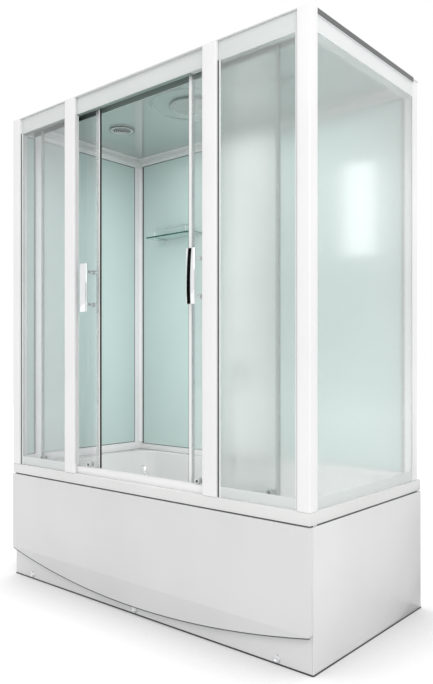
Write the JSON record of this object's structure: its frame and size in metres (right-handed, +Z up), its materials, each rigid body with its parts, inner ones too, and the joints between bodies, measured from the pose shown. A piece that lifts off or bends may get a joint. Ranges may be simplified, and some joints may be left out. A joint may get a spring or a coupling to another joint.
{
  "type": "shower cabin",
  "caption": "Rectangular shower-bath cabin: deep white bath, frosted and clear glass, two sliding doors, roof with rain shower, shelf and mixer.",
  "frame": {"origin": "on the floor, under the middle of the cabin's footprint", "axes": "+Z up, front with the doors facing -Y, +X to the right seen from the front"},
  "size_m": [1.7, 0.85, 2.2],
  "materials": {
    "white_acrylic": "glossy white acrylic",
    "white_metal": "white coated aluminium, satin",
    "white_plastic": "white plastic",
    "black_plastic": "black plastic",
    "chrome": "polished chrome",
    "zinc_steel": "zinc plated",
    "clear_glass": "clear toughened glass with a faint aqua tint",
    "frosted_glass": "softly frosted toughened glass",
    "aqua_glass": "opaque aqua back-painted glass"
  },
  "bodies": {
    "cabin": {"bath_tub": "white_acrylic", "front_apron": "white_acrylic", "front_plinth": "white_acrylic", "side_panel_left": "white_acrylic", "side_panel_right": "white_acrylic", "roof": "white_acrylic", "shower_column": "white_acrylic", "base_frame": "zinc_steel", "front_left_post": "white_metal", "front_right_post": "white_metal", "back_left_post": "white_metal", "back_right_post": "white_metal", "door_post_left": "white_metal", "door_post_right": "white_metal", "header_front": "white_metal", "header_left": "white_metal", "header_right": "white_metal", "header_back": "white_metal", "sill_front": "white_metal", "sill_left": "white_metal", "sill_right": "white_metal", "sill_back": "white_metal", "front_glass_left": "frosted_glass", "front_glass_right": "frosted_glass", "side_glass_right": "frosted_glass", "side_glass_left": "aqua_glass", "back_glass_left": "aqua_glass", "back_glass_right": "aqua_glass", "rain_shower": "chrome", "ceiling_vent": "white_plastic", "ceiling_lamp": "white_plastic", "shelf_glass": "clear_glass", "shelf_rail": "chrome", "bath_mixer": "chrome", "bath_waste": "chrome", "foot_front_left": "black_plastic", "foot_front_middle": "black_plastic", "foot_front_right": "black_plastic", "foot_back_left": "black_plastic", "foot_back_middle": "black_plastic", "foot_back_right": "black_plastic"},
    "left_door": {"door_glass_left": "clear_glass", "magnet_seal_left": "white_plastic", "handle_left": "chrome"},
    "right_door": {"door_glass_right": "clear_glass", "magnet_seal_right": "white_plastic", "handle_right": "chrome"},
    "left_upper_leading_wheel": {"left_upper_leading_roller": "black_plastic"},
    "left_upper_trailing_wheel": {"left_upper_trailing_roller": "black_plastic"},
    "left_lower_leading_wheel": {"left_lower_leading_roller": "black_plastic"},
    "left_lower_trailing_wheel": {"left_lower_trailing_roller": "black_plastic"},
    "right_upper_leading_wheel": {"right_upper_leading_roller": "black_plastic"},
    "right_upper_trailing_wheel": {"right_upper_trailing_roller": "black_plastic"},
    "right_lower_leading_wheel": {"right_lower_leading_roller": "black_plastic"},
    "right_lower_trailing_wheel": {"right_lower_trailing_roller": "black_plastic"},
    "mixer_swivel_dome": {"mixer_dome": "chrome"},
    "mixer_tilt_lever": {"mixer_lever": "chrome"},
    "diverter": {"diverter_knob": "chrome"},
    "plug": {"waste_plug": "chrome"},
    "overflow": {"overflow_knob": "chrome"}
  },
  "joints": [
    {"name": "left_door_slide", "type": "slide", "parent": "cabin", "child": "left_door", "axis": [1, 0, 0], "range_m": [-0.035, 0.262]},
    {"name": "right_door_slide", "type": "slide", "parent": "cabin", "child": "right_door", "axis": [-1, 0, 0], "range_m": [-0.035, 0.262]},
    {"name": "left_upper_leading_spin", "type": "hinge", "parent": "left_door", "child": "left_upper_leading_wheel", "pos_m": [-0.32215, -0.3835, 2.144], "axis": [0, 1, 0], "continuous": true},
    {"name": "left_upper_trailing_spin", "type": "hinge", "parent": "left_door", "child": "left_upper_trailing_wheel", "pos_m": [-0.66015, -0.3835, 2.144], "axis": [0, 1, 0], "continuous": true},
    {"name": "left_lower_leading_spin", "type": "hinge", "parent": "left_door", "child": "left_lower_leading_wheel", "pos_m": [-0.32215, -0.3835, 0.5778], "axis": [0, 1, 0], "continuous": true},
    {"name": "left_lower_trailing_spin", "type": "hinge", "parent": "left_door", "child": "left_lower_trailing_wheel", "pos_m": [-0.66015, -0.3835, 0.5778], "axis": [0, 1, 0], "continuous": true},
    {"name": "right_upper_leading_spin", "type": "hinge", "parent": "right_door", "child": "right_upper_leading_wheel", "pos_m": [0.32215, -0.3835, 2.144], "axis": [0, 1, 0], "continuous": true},
    {"name": "right_upper_trailing_spin", "type": "hinge", "parent": "right_door", "child": "right_upper_trailing_wheel", "pos_m": [0.66015, -0.3835, 2.144], "axis": [0, 1, 0], "continuous": true},
    {"name": "right_lower_leading_spin", "type": "hinge", "parent": "right_door", "child": "right_lower_leading_wheel", "pos_m": [0.32215, -0.3835, 0.5778], "axis": [0, 1, 0], "continuous": true},
    {"name": "right_lower_trailing_spin", "type": "hinge", "parent": "right_door", "child": "right_lower_trailing_wheel", "pos_m": [0.66015, -0.3835, 0.5778], "axis": [0, 1, 0], "continuous": true},
    {"name": "mixer_swivel", "type": "hinge", "parent": "cabin", "child": "mixer_swivel_dome", "pos_m": [0, 0.3147, 0.98], "axis": [0, -1, 0], "range_deg": [-40, 40]},
    {"name": "mixer_tilt", "type": "hinge", "parent": "mixer_swivel_dome", "child": "mixer_tilt_lever", "pos_m": [0, 0.2584, 0.98], "axis": [1, 0, 0], "range_deg": [0, 20]},
    {"name": "diverter_turn", "type": "hinge", "parent": "cabin", "child": "diverter", "pos_m": [0, 0.3147, 1.14], "axis": [0, -1, 0], "range_deg": [-45, 45]},
    {"name": "overflow_turn", "type": "hinge", "parent": "cabin", "child": "overflow", "pos_m": [0.1, 0.31469, 0.43], "axis": [0, -0.9827, 0.1853], "range_deg": [0, 90]},
    {"name": "plug_lift", "type": "slide", "parent": "cabin", "child": "plug", "axis": [0, 0, 1], "range_m": [0, 0.01]}
  ],
  "couplings": [
    {"joint": "left_upper_leading_spin", "follows": "left_door_slide", "rad_per_m": 105.26},
    {"joint": "left_upper_trailing_spin", "follows": "left_door_slide", "rad_per_m": 105.26},
    {"joint": "left_lower_leading_spin", "follows": "left_door_slide", "rad_per_m": 105.26},
    {"joint": "left_lower_trailing_spin", "follows": "left_door_slide", "rad_per_m": 105.26},
    {"joint": "right_upper_leading_spin", "follows": "right_door_slide", "rad_per_m": -105.26},
    {"joint": "right_upper_trailing_spin", "follows": "right_door_slide", "rad_per_m": -105.26},
    {"joint": "right_lower_leading_spin", "follows": "right_door_slide", "rad_per_m": -105.26},
    {"joint": "right_lower_trailing_spin", "follows": "right_door_slide", "rad_per_m": -105.26},
    {"joint": "plug_lift", "follows": "overflow_turn", "m_per_rad": 0.0063662}
  ]
}
